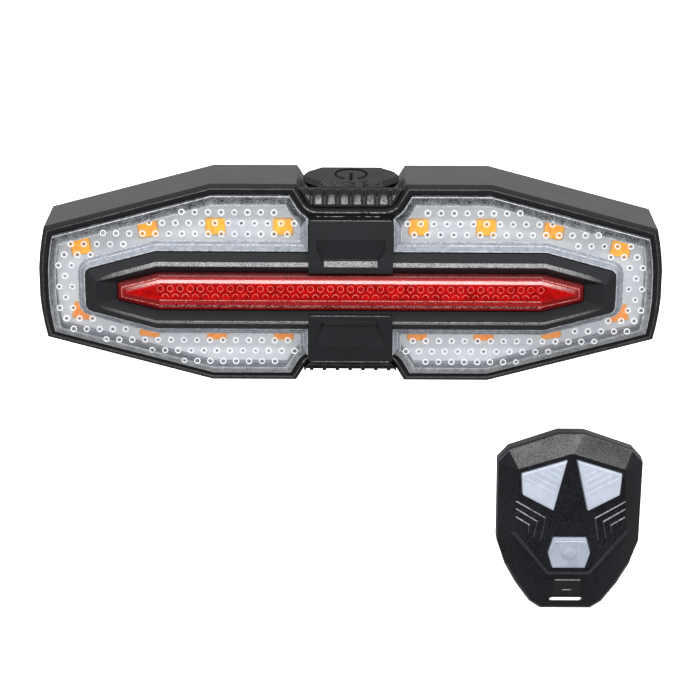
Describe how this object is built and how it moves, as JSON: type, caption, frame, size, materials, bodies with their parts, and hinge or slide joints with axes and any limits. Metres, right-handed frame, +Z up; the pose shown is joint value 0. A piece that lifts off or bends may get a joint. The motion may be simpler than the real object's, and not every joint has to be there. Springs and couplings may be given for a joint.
{
  "type": "bicycle turn signal light",
  "caption": "Wide tail lamp with clear amber-lit indicator lenses round a red bar, on a seat post strap bracket, with a shield-shaped wireless remote.",
  "frame": {"origin": "on the seat post's axis, at half the height of the bracket", "axes": "+Z up along the seat post, the lamp faces -Y, +X to the right of someone who looks at the lamp"},
  "size_m": [0.1198, 0.0762, 0.082],
  "materials": {
    "black_plastic": "fine matt grain",
    "clear_plastic": "clear, with moulded bumps",
    "red_plastic": "clear red, glossy",
    "seal_rubber": "matt",
    "white_board": "white solder mask",
    "amber_led": "amber, faintly glossy",
    "red_led": "red phosphor strip",
    "brass_pin": "bright",
    "cell_foil": "dull foil",
    "foam": "open foam",
    "lead_sleeve": "sleeved wire",
    "green_board": "green solder mask",
    "steel": "plain",
    "switch_plastic": "matt",
    "black_rubber": "matt silicone rubber",
    "remote_plastic": "fine matt grain",
    "key_plastic": "pale, fine diagonal ridges"
  },
  "bodies": {
    "bracket": {"seatpost_bracket": "black_plastic", "saddle_pad": "black_rubber", "rubber_strap": "black_rubber"},
    "lamp": {"rear_housing": "black_plastic", "front_bezel": "black_plastic", "clear_lens_left": "clear_plastic", "clear_lens_right": "clear_plastic", "centre_frame": "black_plastic", "red_lens": "red_plastic", "housing_seal": "seal_rubber", "circuit_board": "white_board", "amber_leds_left": "amber_led", "amber_leds_right": "amber_led", "red_light_board": "white_board", "red_light_strip": "red_led", "red_board_pins": "brass_pin", "battery": "cell_foil", "battery_foam": "foam", "battery_leads": "lead_sleeve", "radio_module": "green_board", "usb_socket": "steel", "button_switch": "switch_plastic", "assembly_screws": "steel", "button_boot": "black_rubber"},
    "button": {"power_button": "black_rubber"},
    "charging_cover": {"usb_cover": "black_rubber"},
    "remote": {"remote_front_shell": "remote_plastic", "remote_back_shell": "remote_plastic", "remote_board": "green_board", "remote_switches": "steel", "remote_coin_cell": "steel", "remote_cell_clip": "brass_pin", "remote_screws": "steel"},
    "left_key": {"remote_left_key": "key_plastic"},
    "right_key": {"remote_right_key": "key_plastic"},
    "mode_key": {"remote_mode_key": "key_plastic"}
  },
  "joints": [
    {"name": "lamp_slide", "type": "slide", "parent": "bracket", "child": "lamp", "axis": [0, 0, 1], "range_m": [0, 0.02]},
    {"name": "power_button_press", "type": "slide", "parent": "lamp", "child": "button", "axis": [0, 0, -1], "range_m": [0, 0.0008], "stiffness_N_per_m": 400},
    {"name": "usb_cover_open", "type": "hinge", "parent": "lamp", "child": "charging_cover", "pos_m": [0, -0.0276, -0.0164], "axis": [1, 0, 0], "range_deg": [0, 90]},
    {"name": "remote_lift", "type": "slide", "parent": "bracket", "child": "remote", "axis": [0, 0, 1], "range_m": [0, 0.1]},
    {"name": "remote_left_press", "type": "slide", "parent": "remote", "child": "left_key", "axis": [0, 1, 0], "range_m": [0, 0.0006], "stiffness_N_per_m": 300},
    {"name": "remote_right_press", "type": "slide", "parent": "remote", "child": "right_key", "axis": [0, 1, 0], "range_m": [0, 0.0006], "stiffness_N_per_m": 300},
    {"name": "remote_mode_press", "type": "slide", "parent": "remote", "child": "mode_key", "axis": [0, 1, 0], "range_m": [0, 0.0006], "stiffness_N_per_m": 300}
  ]
}
